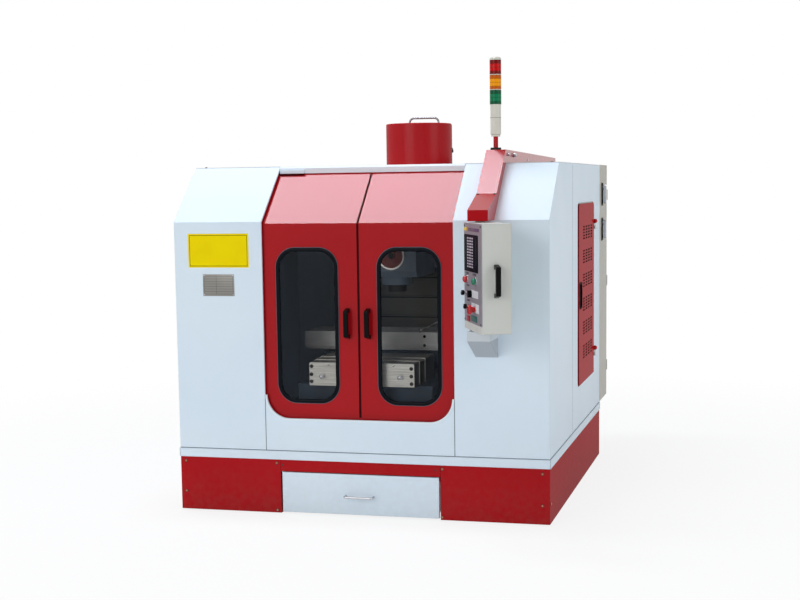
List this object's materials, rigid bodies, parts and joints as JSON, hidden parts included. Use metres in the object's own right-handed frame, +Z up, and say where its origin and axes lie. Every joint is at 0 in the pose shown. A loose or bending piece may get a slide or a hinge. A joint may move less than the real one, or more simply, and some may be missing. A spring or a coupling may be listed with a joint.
{
  "type": "cnc machining center",
  "caption": "Vertical machining centre in a folded sheet enclosure with sliding doors, swivel pendant, signal tower, chip drawer, service doors and three moving axes.",
  "frame": {"origin": "floor level under the middle of the machine's overall box", "axes": "+X to the operator's right, +Y from the front to the back, +Z up"},
  "size_m": [1.8244, 2.5801, 2.137],
  "materials": {
    "white_paint": "satin",
    "red_paint": "gloss",
    "beige_paint": "satin",
    "casting_paint": "painted",
    "table_iron": "ground",
    "bright_steel": "brushed",
    "chrome": "polished",
    "window_glass": "clear",
    "seal_rubber": "matt",
    "black_plastic": "satin",
    "plate_grey": "satin",
    "white_plastic": "gloss",
    "lens_green": "clear",
    "lens_amber": "clear",
    "lens_red": "clear",
    "button_red": "gloss",
    "button_green": "gloss"
  },
  "bodies": {
    "machine": {"bed": "casting_paint", "levelling_pads": "bright_steel", "chip_pan": "white_paint", "front_skirt_left": "red_paint", "front_skirt_right": "red_paint", "base_surround": "red_paint", "front_cover_left": "white_paint", "front_cover_right": "white_paint", "lower_cover": "white_paint", "side_cover": "white_paint", "rear_cover": "white_paint", "roof_cover": "white_paint", "door_rails": "bright_steel", "column": "casting_paint", "column_apron_lower": "bright_steel", "way_cover_front": "bright_steel", "column_cover": "red_paint", "cable_duct": "red_paint", "tower_pole": "red_paint", "tower_housing": "white_plastic", "tower_lens_green": "lens_green", "tower_lens_amber": "lens_amber", "tower_lens_red": "lens_red", "pendant_bracket": "white_paint", "electrical_cabinet": "beige_paint", "drive_board": "bright_steel"},
    "left_door": {"left_door": "red_paint", "left_window_seal": "seal_rubber", "left_window_glass": "window_glass", "left_door_handle": "black_plastic"},
    "right_door": {"right_door": "red_paint", "right_window_seal": "seal_rubber", "right_window_glass": "window_glass", "right_door_handle": "black_plastic"},
    "drawer": {"chip_drawer": "white_paint", "drawer_handle": "chrome"},
    "saddle": {"saddle": "casting_paint", "cross_motor": "black_plastic", "way_cover_rear": "bright_steel"},
    "way_cover_middle": {"way_cover_middle": "bright_steel"},
    "table": {"table": "table_iron"},
    "head": {"spindle_head": "casting_paint", "spindle_motor": "black_plastic", "column_apron_upper": "bright_steel"},
    "column_apron_middle": {"column_apron_middle": "bright_steel"},
    "spindle": {"spindle": "bright_steel"},
    "pendant": {"pendant_box": "beige_paint", "control_plate": "plate_grey", "pendant_handle": "black_plastic"},
    "stop_button": {"stop_button": "button_red"},
    "start_button": {"start_button": "button_green"},
    "mode_knob": {"mode_knob": "black_plastic"},
    "feed_knob": {"feed_knob": "black_plastic"},
    "axis_knob": {"axis_knob": "black_plastic"},
    "emergency_stop": {"emergency_stop": "button_red"},
    "side_door": {"side_door": "red_paint", "side_door_handle": "black_plastic"},
    "cabinet_door": {"cabinet_door": "beige_paint"},
    "cabinet_latch_upper": {"cabinet_latch_upper": "chrome"},
    "cabinet_latch_lower": {"cabinet_latch_lower": "chrome"}
  },
  "joints": [
    {"name": "left_door_slide", "type": "slide", "parent": "machine", "child": "left_door", "axis": [-1, 0, 0], "range_m": [0, 0.385]},
    {"name": "right_door_slide", "type": "slide", "parent": "machine", "child": "right_door", "axis": [1, 0, 0], "range_m": [0, 0.385]},
    {"name": "drawer_slide", "type": "slide", "parent": "machine", "child": "drawer", "axis": [0, -1, 0], "range_m": [0, 0.33]},
    {"name": "saddle_slide", "type": "slide", "parent": "machine", "child": "saddle", "axis": [0, 1, 0], "range_m": [0, 0.3]},
    {"name": "way_cover_slide", "type": "slide", "parent": "machine", "child": "way_cover_middle", "axis": [0, 1, 0], "range_m": [0, 0.15]},
    {"name": "table_slide", "type": "slide", "parent": "saddle", "child": "table", "axis": [1, 0, 0], "range_m": [-0.2, 0.2]},
    {"name": "head_slide", "type": "slide", "parent": "machine", "child": "head", "axis": [0, 0, 1], "range_m": [-0.13, 0.14]},
    {"name": "apron_slide", "type": "slide", "parent": "machine", "child": "column_apron_middle", "axis": [0, 0, 1], "range_m": [-0.065, 0.07]},
    {"name": "spindle_turn", "type": "hinge", "parent": "head", "child": "spindle", "pos_m": [-0.01215, -0.14214, 1.05], "axis": [0, 0, 1], "continuous": true},
    {"name": "pendant_swivel", "type": "hinge", "parent": "machine", "child": "pendant", "pos_m": [0.59185, -0.96314, 1.148], "axis": [0, 0, 1], "range_deg": [-40, 66]},
    {"name": "stop_press", "type": "slide", "parent": "pendant", "child": "stop_button", "axis": [0.9135, 0.4067, 0], "range_m": [0, 0.004], "stiffness_N_per_m": 1200},
    {"name": "start_press", "type": "slide", "parent": "pendant", "child": "start_button", "axis": [0.9135, 0.4067, 0], "range_m": [0, 0.004], "stiffness_N_per_m": 1200},
    {"name": "emergency_press", "type": "slide", "parent": "pendant", "child": "emergency_stop", "axis": [0.9135, 0.4067, 0], "range_m": [0, 0.004], "stiffness_N_per_m": 3500},
    {"name": "mode_turn", "type": "hinge", "parent": "pendant", "child": "mode_knob", "pos_m": [0.53643, -1.00093, 1.07421], "axis": [0.9135, 0.4067, 0], "range_deg": [-135, 135]},
    {"name": "feed_turn", "type": "hinge", "parent": "pendant", "child": "feed_knob", "pos_m": [0.57552, -1.08872, 1.07421], "axis": [0.9135, 0.4067, 0], "range_deg": [-135, 135]},
    {"name": "axis_turn", "type": "hinge", "parent": "pendant", "child": "axis_knob", "pos_m": [0.55676, -1.04659, 1.0164], "axis": [0.9135, 0.4067, 0], "range_deg": [-60, 60]},
    {"name": "side_door_hinge", "type": "hinge", "parent": "machine", "child": "side_door", "pos_m": [0.89585, 0.67386, 1], "axis": [0, 0, 1], "range_deg": [0, 100]},
    {"name": "cabinet_door_hinge", "type": "hinge", "parent": "machine", "child": "cabinet_door", "pos_m": [0.88385, 1.28086, 0.98], "axis": [0, 0, 1], "range_deg": [0, 110]},
    {"name": "upper_latch_turn", "type": "hinge", "parent": "cabinet_door", "child": "cabinet_latch_upper", "pos_m": [0.88785, 1.03986, 1.526], "axis": [1, 0, 0], "range_deg": [0, 90]},
    {"name": "lower_latch_turn", "type": "hinge", "parent": "cabinet_door", "child": "cabinet_latch_lower", "pos_m": [0.88785, 1.03986, 1.328], "axis": [1, 0, 0], "range_deg": [0, 90]}
  ],
  "couplings": [
    {"joint": "way_cover_slide", "follows": "saddle_slide", "ratio": 0.5},
    {"joint": "apron_slide", "follows": "head_slide", "ratio": 0.5}
  ]
}
